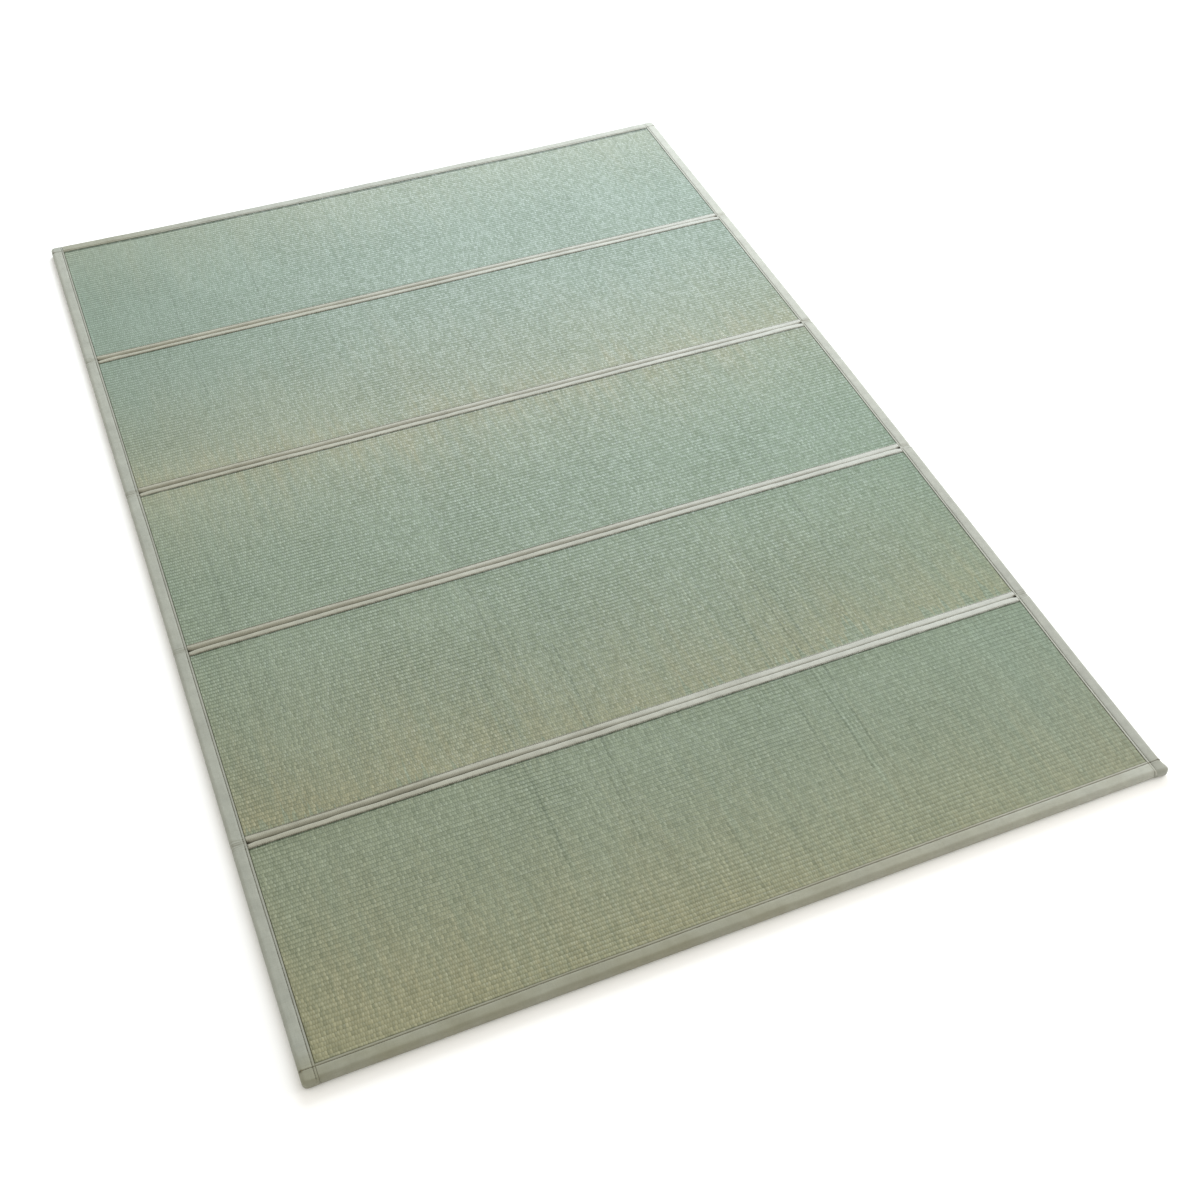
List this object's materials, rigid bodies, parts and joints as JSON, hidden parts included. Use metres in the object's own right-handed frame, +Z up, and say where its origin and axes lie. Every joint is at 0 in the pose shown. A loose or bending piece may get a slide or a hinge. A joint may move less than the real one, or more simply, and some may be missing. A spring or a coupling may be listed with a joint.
{
  "type": "folding tatami mat",
  "caption": "Flat folding woven-rush mat: padded rush panels joined by bound folds, with a cotton tape round the edge.",
  "frame": {"origin": "under the middle of the mat, on the surface it lies on", "axes": "+X across the mat's width to its right, +Y along its length to its back edge, +Z up out of its face"},
  "size_m": [1.4, 2.1, 0.018],
  "materials": {
    "rush": "woven rush, pale green with straw-coloured streaks, slightly glossy along the stems",
    "edge_tape": "fine cotton tape with a soft satin sheen, pale grey-green",
    "fold_binding": "matte cotton strip, cream to beige",
    "thread": "matte sewing thread, olive brown"
  },
  "bodies": {
    "root": {"panel_1": "rush", "panel_2": "rush", "panel_3": "rush", "panel_4": "rush", "panel_5": "rush", "side_tape_left": "edge_tape", "side_tape_right": "edge_tape", "end_tape_back": "edge_tape", "end_tape_front": "edge_tape", "fold_1_binding_back": "fold_binding", "fold_1_binding_front": "fold_binding", "fold_2_binding_back": "fold_binding", "fold_2_binding_front": "fold_binding", "fold_3_binding_back": "fold_binding", "fold_3_binding_front": "fold_binding", "fold_4_binding_back": "fold_binding", "fold_4_binding_front": "fold_binding"}
  },
  "joints": []
}
